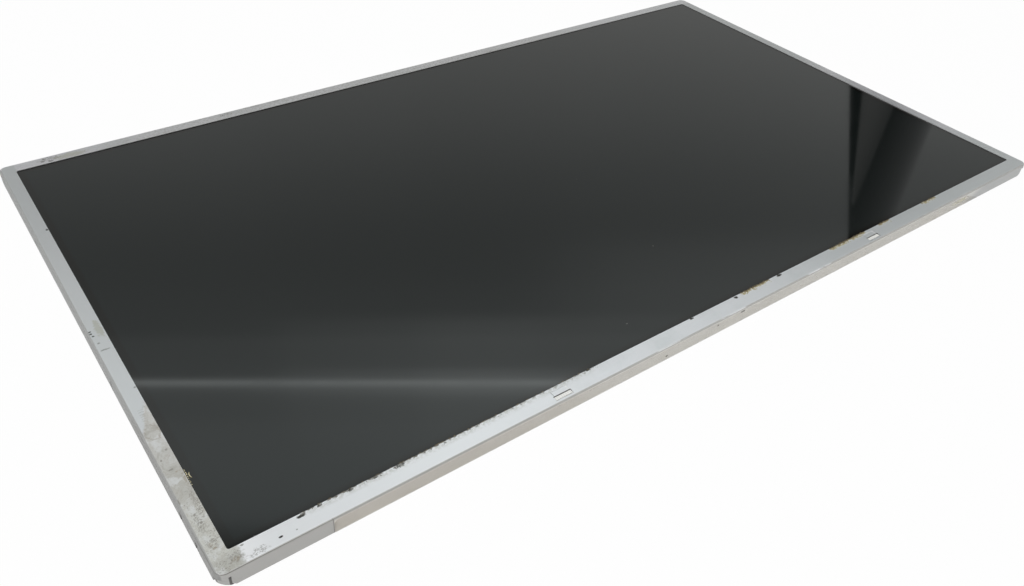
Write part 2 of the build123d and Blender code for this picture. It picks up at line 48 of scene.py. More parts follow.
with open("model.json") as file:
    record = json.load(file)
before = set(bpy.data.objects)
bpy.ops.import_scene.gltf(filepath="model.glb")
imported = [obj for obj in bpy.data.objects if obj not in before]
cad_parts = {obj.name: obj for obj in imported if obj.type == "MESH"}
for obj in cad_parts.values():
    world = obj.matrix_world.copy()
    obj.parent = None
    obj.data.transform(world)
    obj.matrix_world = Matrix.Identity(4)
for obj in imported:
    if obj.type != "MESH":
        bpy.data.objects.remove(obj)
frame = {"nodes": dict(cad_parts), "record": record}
nodes = frame["nodes"]
cad_low, cad_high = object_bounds()


def box_mm(name):
    """Lowest and highest corner of a node in millimetres."""
    low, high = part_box(name)
    return Vector(low) / MM, Vector(high) / MM


# Places on the part

opening_x = 174.45
opening_near = -98.4
opening_far = 99.3
active_x = 172.1
active_near = -96.3
active_far = 97.2
slot_middles = (-75.1, 73.4)
slot_half_length = 3.15
slot_near, slot_far = -103.4, -101.7
tab_half_length = 2.7
tab_near, tab_far = -101.5, -99.6
hook_middles = (-91.0, -80.9)
hook_half = 0.9
hook_top = 1.35
film_left = box_mm("board_cover_film")[0].x
film_right = box_mm("board_cover_film")[1].x
front_z = cad_high.z / MM
near_wall_y = box_mm("front_bezel")[0].y
far_wall_y = box_mm("front_bezel")[1].y
side_wall_x = cad_high.x / MM
screen_z = box_mm("front_polarizer")[1].z
# heights between which a wall turns into the front face
bend_foot, bend_top = 4.5, 5.05


def spans(middles, before, after):
    """Stretches (from, to) round each of the middles."""
    return [(middle + before, middle + after) for middle in middles]


# Nodes of a material


class Field:
    """A number that varies over a surface. Arithmetic on it adds Math nodes."""

    def __init__(self, tree, socket):
        self.tree = tree
        self.socket = socket

    def math(self, operation, *others):
        node = self.tree.nodes.new("ShaderNodeMath")
        node.operation = operation
        for place, value in enumerate((self, *others)):
            if isinstance(value, Field):
                self.tree.links.new(value.socket, node.inputs[place])
            else:
                node.inputs[place].default_value = value
        return Field(self.tree, node.outputs["Value"])

    def __add__(self, other):
        return self.math("ADD", other)

    def __sub__(self, other):
        return self.math("SUBTRACT", other)

    def __mul__(self, other):
        return self.math("MULTIPLY", other)

    def __truediv__(self, other):
        return self.math("DIVIDE", other)

    def either(self, other):
        return self.math("MAXIMUM", other)

    def inverse(self):
        """1 where the mask is 0, and 0 where it is 1."""
        return self * -1.0 + 1.0

    def apart(self, middle):
        """How far the number is from a middle value."""
        return (self - middle).math("ABSOLUTE")

    def repeat(self, pitch, start=0.0):
        """How far the number is past the last of the steps of that pitch."""
        return ((self - start) / pitch).math("FRACT") * pitch

    def ramp(self, low, high, at_low=0.0, at_high=1.0):
        """A smooth step from at_low to at_high as the number goes from low to high."""
        node = self.tree.nodes.new("ShaderNodeMapRange")
        node.interpolation_type = "SMOOTHSTEP"
        values = (low, high, at_low, at_high)
        for name, value in zip(("From Min", "From Max", "To Min", "To Max"), values):
            node.inputs[name].default_value = value
        self.tree.links.new(self.socket, node.inputs["Value"])
        return Field(self.tree, node.outputs["Result"])

    def within(self, low, high, soft):
        """1 between low and high, falling to 0 over the soft distance outside."""
        return self.ramp(low - soft, low) * self.ramp(high, high + soft, 1.0, 0.0)

    def on_any(self, spans, soft):
        """1 on any of the spans."""
        mask = self.within(*spans[0], soft)
        for span in spans[1:]:
            mask = mask.either(self.within(*span, soft))
        return mask


class Finish:
    """A node material with a Principled surface, and the fields that drive it in millimetres."""

    def __init__(self, name, colour, roughness, **sockets):
        self.material = bpy.data.materials.new(name)
        self.material.use_nodes = True
        self.tree = self.material.node_tree
        self.shader = self.tree.nodes["Principled BSDF"]
        self.shader.inputs["Base Color"].default_value = (*colour, 1.0)
        self.shader.inputs["Roughness"].default_value = roughness
        for socket, value in sockets.items():
            self.shader.inputs[socket.replace("_", " ")].default_value = value
        coordinates = self.tree.nodes.new("ShaderNodeTexCoord")
        scale = self.tree.nodes.new("ShaderNodeVectorMath")
        scale.operation = "SCALE"
        scale.inputs["Scale"].default_value = 1.0 / MM
        self.tree.links.new(coordinates.outputs["Object"], scale.inputs[0])
        self.place = scale.outputs["Vector"]
        split = self.tree.nodes.new("ShaderNodeSeparateXYZ")
        self.tree.links.new(self.place, split.inputs["Vector"])
        self.x, self.y, self.z = (Field(self.tree, split.outputs[axis]) for axis in "XYZ")
        self.colour = colour

    def _mapped(self, size, stretch, shift):
        node = self.tree.nodes.new("ShaderNodeMapping")
        node.inputs["Location"].default_value = (shift, shift * 0.7, shift * 0.4)
        node.inputs["Scale"].default_value = [1.0 / (size * part) for part in stretch]
        self.tree.links.new(self.place, node.inputs["Vector"])
        return node.outputs["Vector"]

    def noise(self, size, detail=3.0, rough=0.5, stretch=(1, 1, 1), shift=0.0, distort=0.0):
        """Cloudy noise with lumps of about that size."""
        node = self.tree.nodes.new("ShaderNodeTexNoise")
        node.inputs["Scale"].default_value = 1.0
        node.inputs["Detail"].default_value = detail
        node.inputs["Roughness"].default_value = rough
        node.inputs["Distortion"].default_value = distort
        self.tree.links.new(self._mapped(size, stretch, shift), node.inputs["Vector"])
        return Field(self.tree, node.outputs["Fac"])

    def cells(self, size, stretch=(1, 1, 1), shift=0.0):
        """Distance to the nearest of scattered points, in units of the size."""
        node = self.tree.nodes.new("ShaderNodeTexVoronoi")
        node.inputs["Scale"].default_value = 1.0
        self.tree.links.new(self._mapped(size, stretch, shift), node.inputs["Vector"])
        return Field(self.tree, node.outputs["Distance"])

    def reach(self, x, y, half_x, half_y):
        """1 on the outline of an ellipse in plan, less inside it."""
        along = (self.x - x) / half_x
        across = (self.y - y) / half_y
        return (along * along + across * across).math("SQRT")

    def spots(self, places, wobble=0.0):
        """1 inside any of the ellipses in plan, whose outlines wobble."""
        mask = None
        for place in places:
            spot = (self.reach(*place) + wobble).ramp(0.75, 1.25, 1.0, 0.0)
            mask = mask.either(spot) if mask else spot
        return mask

    def mix(self, colour, mask):
        """Lays a colour over the colour so far where the mask is 1."""
        node = self.tree.nodes.new("ShaderNodeMix")
        node.data_type = "RGBA"
        below, above = node.inputs[6], node.inputs[7]
        if isinstance(self.colour, tuple):
            below.default_value = (*self.colour, 1.0)
        else:
            self.tree.links.new(self.colour, below)
        above.default_value = (*colour, 1.0)
        self.tree.links.new(mask.socket, node.inputs["Factor"])
        self.colour = node.outputs[2]
        self.tree.links.new(self.colour, self.shader.inputs["Base Color"])

    def drive(self, socket, field):
        self.tree.links.new(field.socket, self.shader.inputs[socket])

    def bump(self, height, distance, strength=1.0):
        """Relief of that height in millimetres."""
        node = self.tree.nodes.new("ShaderNodeBump")
        node.inputs["Strength"].default_value = strength
        node.inputs["Distance"].default_value = distance * MM
        self.tree.links.new(height.socket, node.inputs["Height"])
        self.tree.links.new(node.outputs["Normal"], self.shader.inputs["Normal"])


def srgb(red, green, blue):
    """A colour as the eye reads it, 0 to 255, in the shader's linear values."""

    def linear(level):
        level = level / 255.0
        return level / 12.92 if level <= 0.04045 else ((level + 0.055) / 1.055) ** 2.4

    return tuple(linear(level) for level in (red, green, blue))


# Bezel metal: matt sheet, soiled by peeled adhesive on the left border and along the near edge of the window

# plan ellipses (x, y, half length, half width) of single dark marks on the front face
dark_chips = (
    (-162.6, -102.0, 0.5, 0.25),
    (-156.0, -99.2, 1.1, 0.45),
    (-150.6, -98.8, 0.8, 0.4),
    (-142.0, -98.8, 0.9, 0.4),
    (-134.9, -98.8, 1.0, 0.4),
    (-127.5, -98.9, 1.5, 0.6),
    (-62.4, -98.6, 0.8, 0.3),
    (-18.6, -98.7, 0.9, 0.35),
    (1.9, -99.1, 0.7, 0.5),
    (24.1, -98.9, 1.2, 0.5),
    (-174.9, 55.6, 0.4, 0.6),
    (-178.5, -4.4, 0.4, 0.25),
    (-178.4, -5.5, 0.4, 0.25),
    (-178.2, -6.8, 0.35, 0.3),
)
faint_chips = (
    (-158.5, -102.2, 0.3, 0.2),
    (-171.1, -99.0, 0.4, 0.3),
    (-177.7, -10.7, 0.35, 0.4),
    (-177.1, -14.3, 1.3, 0.3),
    (-164.0, 103.0, 0.5, 0.6),
    (-164.6, 101.4, 0.8, 0.5),
    (-161.8, 100.6, 1.2, 0.5),
    (-174.9, -34.0, 0.3, 0.3),
    (-175.6, -60.7, 0.35, 0.35),
    (-178.0, -63.7, 0.25, 0.4),
    (-176.9, -67.9, 0.6, 0.3),
    (-177.2, -84.6, 0.3, 0.35),
    (-176.6, -87.6, 0.4, 0.3),
    (-178.9, -79.0, 0.2, 0.9),
)
# brown spots in the residue
brown_spots = (
    (-175.6, -69.3, 0.6, 0.4),
    (-175.0, -72.6, 0.35, 2.0),
    (-177.1, -94.8, 0.5, 0.6),
    (-176.7, -96.4, 0.6, 0.4),
    (-173.6, -101.8, 1.0, 0.7),
)
# paler places in the residue
pale_spots = ((-177.1, -58.4, 1.0, 2.4), (-177.3, -71.9, 0.9, 1.3), (-176.8, -82.4, 0.5, 1.2))
# beige stains on the clean metal
beige_stains = ((-175.8, -4.0, 1.1, 4.0), (-155.0, 101.5, 5.5, 1.8))
# cloudy smudges: groups of fine specks
smudges = (
    (-168.3, -102.7, 2.4, 1.0),
    (-173.6, -101.2, 1.5, 1.5),
    (-177.0, -88.0, 1.2, 3.0),
    (-175.4, -81.0, 0.8, 4.0),
    (-176.6, -95.0, 1.2, 1.8),
    (-162.5, 102.3, 3.6, 1.3),
    (-92.5, 102.6, 3.0, 0.8),
    (-79.0, 103.4, 2.2, 0.7),
    (-70.0, 103.7, 3.0, 0.6),
    (44.4, 99.8, 4.0, 0.9),
    (75.8, 98.9, 2.0, 0.6),
    (111.3, 99.2, 6.0, 0.5),
)
# ring left by a dried drop on the left border
drop_ring = (-176.6, -53.0, 1.7, 2.9)
# stretches of the near window edge (from x, to x) with brown adhesive, and with a ragged dark fringe
brown_stretches = ((5.5, 18.5), (53.0, 72.5), (82.5, 88.0), (110.5, 118.5))
fringe_stretches = ((-155.0, -133.0), (-129.0, -78.0), (-76.0, -60.0))
# stretches of the near fold that are bright, partly worn and partly a painted highlight
bright_stretches = ((-38.0, -27.0), (-9.5, 0.0), (34.5, 45.0))


def bezel_finish():
    clean_metallic, clean_roughness = 0.92, 0.30
    finish = Finish("bezel_metal", srgb(242, 240, 243), clean_roughness, Metallic=clean_metallic)
    x, y, z = finish.x, finish.y, finish.z
    front = z.ramp(front_z - 0.04, front_z - 0.01)
    near_side = y.ramp(near_wall_y + 0.7, near_wall_y + 1.0, 1.0, 0.0)
    left_side = x.ramp(-side_wall_x + 0.9, -side_wall_x + 1.3, 1.0, 0.0)
    from_side = (x.math("ABSOLUTE") - side_wall_x) * -1.0
    from_end = (y - near_wall_y).math("MINIMUM", (y - far_wall_y) * -1.0)
    rim = from_side.math("MINIMUM", from_end).ramp(1.0, 1.05, 1.0, 0.0)
    rim = rim.either(from_side.either(from_end).ramp(2.6, 2.7, 1.0, 0.0))
    wall = z.ramp(front_z - 0.10, front_z - 0.02, 1.0, 0.0) * rim
    wall = wall.either(y.ramp(near_wall_y + 0.35, near_wall_y + 0.75, 1.0, 0.0))
    wall = wall.either(x.ramp(-side_wall_x + 0.55, -side_wall_x + 0.95, 1.0, 0.0))
    left_border = x.ramp(-opening_x, -opening_x + 0.5, 1.0, 0.0)

    grain = finish.noise(0.22, 2.0, 0.6)
    cloud = finish.noise(16.0, 5.0, 0.6)
    streak = finish.noise(3.0, 4.0, 0.6, stretch=(6, 1, 1))
    finish.mix(srgb(222, 226, 231), grain.ramp(0.35, 0.7) * 0.35)
    finish.mix(srgb(222, 224, 225), cloud.ramp(0.45, 0.7) * 0.6)
    finish.mix(srgb(243, 245, 248), streak.ramp(0.52, 0.75) * 0.4)
    # painted light and shade: the left border is paler from its middle down and darker towards its far end
    finish.mix(srgb(239, 240, 241), left_border * y.ramp(-72.0, -40.0) * 0.9)
    finish.mix(srgb(223, 225, 226), left_border * y.ramp(10.0, 95.0) * 0.9)
    # the near border is painted paler towards the left as a painted highlight, and made duller there
    near_left_highlight = y.ramp(opening_near, opening_near + 0.5, 1.0, 0.0) * x.ramp(-120.0, -45.0, 1.0, 0.0)
    finish.mix(srgb(252, 252, 254), near_left_highlight)
    # painted shade: darker towards the right, except on the middle of the right border and, in part, on the
    # far border
    right_border = x.ramp(opening_x - 0.5, opening_x) * y.within(-60.0, -5.0, 25.0)
    far_border = y.ramp(opening_far - 0.5, opening_far)
    clearer = right_border.either(far_border * 0.6)
    finish.mix(srgb(212, 214, 215), x.ramp(-80.0, 150.0) * clearer.inverse())

    # the walls are dull and painted darker as painted shade, the left one most and the bends darker still;
    # the near one is paler where the film covers it
    finish.mix(srgb(197, 196, 193), wall)
    finish.mix(srgb(174, 175, 174), wall * left_side)
    finish.mix(srgb(166, 166, 164), wall * left_side * y.ramp(-55.0, -30.0, 1.0, 0.0) * 0.8)
    # painted shade along the bend of the left wall
    finish.mix(srgb(142, 142, 140), wall * left_side * z.ramp(4.6, 5.05) * 0.3)
    near_wall = wall * near_side
    film_end = (x - z * 2.0).ramp(film_right - 20.0, film_right - 4.0, 1.0, 0.0)
    covered = near_wall * x.ramp(film_left - 0.3, film_left) * film_end
    covered = covered * z.ramp(bend_foot, bend_top, 1.0, 0.1)
    bare_end = near_wall * x.ramp(film_right - 30.0, film_right) * z.ramp(bend_foot, bend_top, 1.0, 0.4)
    finish.mix(srgb(212, 213, 212), bare_end)
    finish.mix(srgb(229, 225, 219), covered)
    finish.mix(srgb(245, 244, 241), covered * x.ramp(-130.0, -25.0))
    # painted shade along the bend of the near wall
    finish.mix(srgb(166, 164, 160), near_wall * z.ramp(4.6, 5.05) * 0.55)
    finish.mix(srgb(120, 116, 112), near_wall * x.within(film_left - 0.3, film_left - 0.1, 0.1) * 0.7)

    # residue of peeled adhesive from here down the left border to the near left corner
    residue_far = -43.0
    slant = 2.7
    along_left = y - (x + opening_x) * slant
    left_zone = along_left.ramp(residue_far - 4.0, residue_far + 8.0, 1.0, 0.0) * left_border
    corner_zone = x.ramp(-178.0, -167.0, 1.0, 0.0) * y.ramp(-98.6, -97.6, 1.0, 0.0)
    torn = finish.noise(2.2, 6.0, 0.7, shift=2.2)
    stained = (left_zone.either(corner_zone) + (torn - 0.5) * 1.1).ramp(0.3, 0.7)
    zone = stained * front * wall.inverse()
    patches = finish.noise(6.0, 8.0, 0.68, distort=0.7)
    wobble = (finish.noise(0.9, 4.0, 0.7, shift=6.4) - 0.5) * 2.4
    finish.mix(srgb(183, 183, 178), zone * 0.9)
    finish.mix(srgb(196, 197, 191), zone * y.ramp(-88.0, -76.0, 1.0, 0.0) * 0.9)
    finish.mix(srgb(170, 169, 161), zone * y.within(-77.0, -70.0, 5.0) * 0.4)
    finish.mix(srgb(168, 168, 162), zone * y.ramp(-101.0, -98.5, 1.0, 0.0) * 0.6)
    finish.mix(srgb(208, 210, 210), patches.ramp(0.52, 0.60) * zone * 0.6)
    finish.mix(srgb(160, 158, 150), patches.ramp(0.36, 0.46, 1.0, 0.0) * zone * 0.6)
    finish.mix(srgb(206, 208, 208), finish.spots(pale_spots, wobble * 0.6) * zone * 0.6)
    tide = patches.apart(0.49).ramp(0.003, 0.010, 1.0, 0.0)
    finish.mix(srgb(156, 149, 137), tide * zone * 0.5)
    mottle = finish.noise(1.1, 6.0, 0.75, shift=3.1)
    ring = (finish.reach(*drop_ring) + (torn - 0.5) * 2.0).apart(1.0)
    finish.mix(srgb(158, 153, 144), ring.ramp(0.05, 0.16, 1.0, 0.0) * zone * mottle.ramp(0.38, 0.52) * 0.7)
    ridges = (y * 7.0 + torn * 8.0).math("SINE").ramp(0.2, 0.8) * y.within(-48.0, -43.5, 0.5)
    finish.mix(srgb(172, 172, 168), ridges * x.within(-177.2, -175.8, 0.2) * 0.4)
    deeper = y.ramp(-80.0, -66.0, 1.0, 0.15)
    finish.mix(srgb(158, 155, 147), mottle.ramp(0.56, 0.66) * zone * deeper * 0.5)
    grit = finish.noise(0.42, 4.0, 0.7, shift=5.7)
    gritty = finish.noise(3.5, 3.0, 0.6, shift=7.5).ramp(0.42, 0.56) * deeper
    finish.mix(srgb(112, 107, 98), grit.ramp(0.55, 0.61) * zone * gritty * 0.65)

    # dull mottling along the far border
    far_zone = y.ramp(opening_far - 0.5, opening_far + 0.5) * x.within(-120.0, 70.0, 40.0)
    finish.mix(srgb(192, 190, 182), mottle.ramp(0.42, 0.6) * far_zone * 0.45)

    # stains, single marks, and smudges made of specks
    finish.mix(srgb(205, 204, 188), finish.spots(beige_stains, wobble) * front * 0.6)
    finish.mix(srgb(62, 60, 57), finish.spots(dark_chips, wobble) * front)
    finish.mix(srgb(120, 117, 110), finish.spots(faint_chips, wobble) * front * 0.6)
    finish.mix(srgb(146, 134, 114), finish.spots(brown_spots, wobble) * front * mottle.ramp(0.42, 0.56) * 0.6)
    specks = finish.spots(smudges, wobble) * front * grit.ramp(0.46, 0.54)
    finish.mix(srgb(124, 120, 112), specks * 0.5)

    # near edge of the window: grey haze, ragged dark fringe and brown adhesive
    from_edge = (y - opening_near) * -1.0
    edge_zone = from_edge.ramp(-0.6, -0.4) * front
    ragged = finish.noise(1.1, 5.0, 0.7, stretch=(1.4, 1, 1), shift=8.3)
    hazy = from_edge.ramp(0.4, 2.4, 1.0, 0.0) * x.within(-150.0, -66.0, 8.0) * edge_zone
    finish.mix(srgb(204, 203, 197), hazy * mottle.ramp(0.42, 0.56) * 0.6)
    fringe_depth = ragged.ramp(0.42, 0.70, 0.0, 1.1)
    fringe = (fringe_depth - from_edge).ramp(0.0, 0.2) * x.on_any(fringe_stretches, 3.0) * edge_zone
    finish.mix(srgb(112, 107, 98), fringe * x.ramp(-128.0, -80.0, 0.9, 0.55))
    brown_depth = ragged.ramp(0.34, 0.66, 0.3, 1.9)
    brown = (brown_depth - from_edge).ramp(0.0, 0.35) * x.on_any(brown_stretches, 1.2) * edge_zone
    finish.mix(srgb(164, 154, 110), brown * 0.85)
    finish.mix(srgb(96, 82, 52), brown * (brown_depth * 0.5 - from_edge).ramp(0.0, 0.25) * 0.85)

    # fold: a thin dark line of painted shade that fades away from the near left corner, and short bright
    # stretches on the near one, partly wear and partly painted highlight
    fold = z.within(5.04, 5.14, 0.03) * near_side.either(left_side * y.ramp(-98.0, -84.0, 0.6, 0.0))
    fold_patchiness = finish.noise(4.0, 5.0, 0.7, stretch=(3, 1, 1), shift=1.9)
    fold_strength = x.ramp(-168.0, -130.0, 0.9, 0.45) * x.ramp(-130.0, -20.0, 1.0, 0.25)
    finish.mix(srgb(122, 120, 115), fold * fold_patchiness.ramp(0.25, 0.45) * fold_strength)
    bright = z.within(5.10, 5.19, 0.03) * near_side * x.on_any(bright_stretches, 2.0)
    finish.mix(srgb(242, 243, 245), bright * fold_patchiness.ramp(0.42, 0.55) * 0.8)

    # shaded cut edges of the clip slots, deepest at the far side and the right end, and of the hook notches
    in_slot_x = x.on_any(spans(slot_middles, -slot_half_length, slot_half_length), 0.1)
    below_front = z.ramp(front_z - 0.06, front_z - 0.02, 1.0, 0.0)
    cut_shade = in_slot_x * y.within(slot_near, slot_far, 0.1) * below_front * 0.6
    slot_ends = x.on_any(spans(slot_middles, slot_half_length - 0.1, slot_half_length), 0.1)
    shaded = in_slot_x * y.within(slot_far - 0.1, slot_far + 0.08, 0.06)
    shaded = shaded.either(slot_ends * y.within(slot_far - 0.7, slot_far, 0.1))
    in_hook = y.on_any(spans(hook_middles, -hook_half, hook_half), 0.06)
    cut_shade = cut_shade.either(shaded).either(in_hook * z.ramp(hook_top - 0.05, hook_top + 0.05, 1.0, 0.0))
    # painted shade up the left wall above each hook notch, for the notch's shadow
    cut_shade = cut_shade.either(in_hook * left_side * z.ramp(hook_top + 1.7, hook_top + 2.6, 1.0, 0.0))
    finish.mix(srgb(84, 83, 80), cut_shade)

    # steps round the sunken tabs: the left one in shade, the right and far ones catch the light
    on_tab = y.within(tab_near, tab_far, 0.05)
    left_steps = x.on_any(spans(slot_middles, -tab_half_length - 0.1, -tab_half_length + 0.12), 0.06)
    right_steps = x.on_any(spans(slot_middles, tab_half_length - 0.15, tab_half_length + 0.1), 0.06)
    tab_x = x.on_any(spans(slot_middles, -tab_half_length, tab_half_length), 0.05)
    far_steps = tab_x * y.within(tab_far - 0.1, tab_far + 0.08, 0.05)
    finish.mix(srgb(150, 150, 148), left_steps * on_tab * 0.8)
    finish.mix(srgb(252, 252, 252), (right_steps * on_tab).either(far_steps * 0.6))

    # duller where the near border has its painted highlight
    duller_near_left = near_left_highlight * x.ramp(-174.0, -162.0, 0.32, 0.17)
    soil = (stained * 0.9).either(brown).either(wall * 0.85).either(cut_shade).either(duller_near_left)
    finish.drive("Metallic", soil.ramp(0.0, 1.0, clean_metallic, 0.1))
    finish.drive("Roughness", soil.ramp(0.0, 1.0, clean_roughness, 0.68))
    relief = grain * 0.3 + patches * zone * 2.0 + fringe + brown * 2.0
    finish.bump(relief, 0.02, 0.5)
    return finish.material


# Screen: glossy polarizer over the dark cell, a little darker outside the picture area

screen_dust = ((-1.4, -62.4, 0.3, 0.25), (-38.0, -88.9, 0.35, 0.25))


def screen_finish():
    finish = Finish("screen_face", (0.0140, 0.0160, 0.0156), 0.03, IOR=1.5)
    outside_x = finish.x.math("ABSOLUTE").ramp(active_x - 0.3, active_x + 0.3)
    below = finish.y.ramp(active_near - 0.3, active_near + 0.3, 1.0, 0.0)
    above = finish.y.ramp(active_far - 0.3, active_far + 0.3)
    finish.mix((0.0126, 0.0126, 0.0116), outside_x.either(below).either(above))
    # painted shade along the near edge of the window
    at_edge = finish.y.ramp(opening_near + 0.3, opening_near + 1.6, 1.0, 0.0)
    finish.mix((0.0045, 0.0043, 0.0036), at_edge)
    dust = finish.cells(14.0).ramp(0.008, 0.016, 1.0, 0.0) * finish.noise(40.0, 2.0).ramp(0.45, 0.65)
    finish.mix((0.12, 0.12, 0.11), dust.either(finish.spots(screen_dust)) * 0.6)
    smear = finish.noise(30.0, 4.0, 0.6, stretch=(2, 1, 1))
    finish.drive("Roughness", smear.ramp(0.35, 0.7, 0.028, 0.05))
    return finish.material


# Moulded frame: white, with painted shade where it shows in the corner reliefs and in the gaps

shade_places = (2.85, 3.7)


def frame_finish():
    finish = Finish("white_plastic", srgb(240, 240, 237), 0.42)
    x, y, z = finish.x, finish.y, finish.z
    cloud = finish.noise(8.0, 4.0, 0.55)
    finish.mix(srgb(229, 229, 224), cloud.ramp(0.4, 0.7))
    from_side = (x.math("ABSOLUTE") - side_wall_x) * -1.0
    from_near = y - near_wall_y
    from_far = (y - far_wall_y) * -1.0
    corner = from_side.ramp(5.0, 6.0, 1.0, 0.0) * from_near.ramp(5.0, 6.0, 1.0, 0.0).either(
        from_far.ramp(5.0, 6.0, 1.0, 0.0)
    )
    # painted shade on the corners where they show in the reliefs
    finish.mix(srgb(196, 196, 193), corner * z.ramp(3.4, 3.6, 1.0, 0.0) * 0.9)
    # painted shade in the gap at the end of each wall, by its distance from the side or the near and far
    # faces
    left_half = x.ramp(0.0, 10.0, 1.0, 0.0)
    gap_x = from_side.within(*shade_places, 0.2) * left_half
    near_or_far = from_near.ramp(1.2, 1.4, 1.0, 0.0).either(from_far.ramp(1.2, 1.4, 1.0, 0.0))
    finish.mix(srgb(84, 83, 80), gap_x * near_or_far * z.ramp(2.9, 3.0, 1.0, 0.0) * 0.95)
    # painted shade above the pads, seen through the notches at the wall ends
    over_pad = from_side.within(2.0, 3.7, 0.2) * near_or_far * z.within(2.9, 4.0, 0.05) * left_half
    finish.mix(srgb(84, 83, 80), over_pad * 0.95)
    # a painted shadow line under the bezel's corner
    finish.mix(srgb(112, 111, 107), corner * z.within(2.84, 3.3, 0.03) * left_half * 0.8)
    # painted shade behind the hook notches
    in_hook = y.on_any(spans(hook_middles, -hook_half, hook_half), 0.1)
    behind_hook = in_hook * from_side.ramp(0.8, 1.0, 1.0, 0.0) * z.ramp(hook_top, hook_top + 0.1, 1.0, 0.0)
    finish.mix(srgb(74, 73, 70), behind_hook)
    # painted shade in the gaps at the sides
    gap_y = from_near.within(*shade_places, 0.2).either(from_far.within(*shade_places, 0.2))
    side_gap = gap_y * from_side.ramp(1.2, 1.4, 1.0, 0.0) * z.ramp(3.3, 3.5, 1.0, 0.0)
    finish.mix(srgb(110, 109, 105), side_gap * 0.8)
    # shaded top of the wall round the lugs
    finish.mix(srgb(70, 69, 67), z.within(4.5, 4.96, 0.05) * near_or_far)
    ribs = x.repeat(0.8).within(0.1, 0.3, 0.06) * z.ramp(5.02, 5.06)
    finish.mix(srgb(214, 214, 210), ribs * 0.6)
    finish.bump(finish.noise(0.5, 3.0, 0.6), 0.01, 0.4)
    finish.drive("Roughness", cloud.ramp(0.35, 0.7, 0.38, 0.5))
    return finish.material


# Film that comes round from the back and is stuck up the near wall

# marks on the wall (x, z, half length, half height)
wall_marks = ((-35.0, 1.7, 0.5, 0.35), (-12.2, 3.6, 0.4, 0.3), (-0.5, 4.3, 1.2, 0.3))
yellow_patch = (129.0, 3.2, 5.0, 1.0)


def film_finish():
    finish = Finish("insulating_film", srgb(236, 231, 220), 0.3, Alpha=0.18)
    x, z = finish.x, finish.z
    finish.mix(srgb(228, 221, 206), finish.noise(30.0, 4.0, 0.55).ramp(0.4, 0.7))
    wobble = (finish.noise(0.9, 4.0, 0.7) - 0.5) * 2.0
    on_wall = finish.y.ramp(near_wall_y, near_wall_y + 0.3, 1.0, 0.0)
    marks = None
    for middle, level, half_length, half_height in wall_marks + (yellow_patch,):
        along, up = (x - middle) / half_length, (z - level) / half_height
        spot = ((along * along + up * up).math("SQRT") + wobble).ramp(0.75, 1.25, 1.0, 0.0) * on_wall
        grey = (middle, level, half_length, half_height) != yellow_patch
        finish.mix(srgb(120, 118, 112) if grey else srgb(250, 246, 218), spot)
        cover = spot if grey else spot * 0.35
        marks = marks.either(cover) if marks else cover
    scuff = finish.noise(2.0, 5.0, 0.7, stretch=(5, 1, 1))
    finish.drive("Alpha", marks.either(scuff.ramp(0.62, 0.75) * 0.5).ramp(0.0, 1.0, 0.18, 0.7))
    finish.drive("Roughness", finish.noise(12.0, 4.0, 0.6).ramp(0.35, 0.7, 0.22, 0.42))
    finish.bump(finish.noise(18.0, 3.0, 0.5), 0.06, 0.4)
    return finish.material


# Pieces behind the screen


def plain_finish(name, colour, shade, roughness, size, stretch=(1, 1, 1), **sockets):
    """Two close colours in a cloudy mix, with a slight relief."""
    finish = Finish(name, colour, roughness, **sockets)
    cloud = finish.noise(size, 4.0, 0.55, stretch)
    finish.mix(shade, cloud.ramp(0.4, 0.7))
    fine = finish.noise(size * 0.06, 3.0, 0.6, stretch)
    finish.drive("Roughness", fine.ramp(0.3, 0.7, roughness * 0.85, min(1.0, roughness * 1.15)))
    finish.bump(fine, 0.01, 0.4)
    return finish.material


def board_finish():
    """Green mask over tracks that run along or across by region, with plated holes."""
    finish = Finish("board_laminate", srgb(36, 94, 64), 0.38)
    x, y = finish.x, finish.y
    region = finish.noise(12.0, 1.0, 0.5, shift=4.0).ramp(0.49, 0.51)
    along = y.repeat(0.7).within(0.2, 0.42, 0.05) * region
    across = x.repeat(0.7).within(0.2, 0.42, 0.05) * region.inverse()
    tracks = along.either(across) * finish.noise(5.0, 1.0, 0.5).ramp(0.40, 0.42)
    finish.mix(srgb(58, 124, 84), tracks * 0.8)
    holes = finish.cells(2.6).ramp(0.07, 0.10, 1.0, 0.0)
    finish.mix(srgb(196, 184, 142), holes * 0.8)
    finish.mix(srgb(30, 80, 54), finish.noise(20.0, 3.0, 0.5).ramp(0.45, 0.7) * 0.5)
    finish.bump(tracks, 0.02, 0.6)
    finish.drive("Roughness", holes.either(tracks * 0.4).ramp(0.0, 1.0, 0.38, 0.25))
    return finish.material


def flex_finish(name, lengthwise):
    """Amber film with fine copper tracks along x or along y."""
    finish = Finish(name, srgb(186, 132, 50), 0.32)
    across = finish.y if lengthwise else finish.x
    tracks = across.repeat(0.6).within(0.15, 0.4, 0.05)
    finish.mix(srgb(150, 92, 44), tracks * 0.7)
    finish.mix(srgb(170, 118, 44), finish.noise(6.0, 3.0, 0.5).ramp(0.45, 0.7) * 0.6)
    finish.bump(tracks, 0.012, 0.5)
    finish.drive("Roughness", tracks.ramp(0.0, 1.0, 0.34, 0.26))
    return finish.material


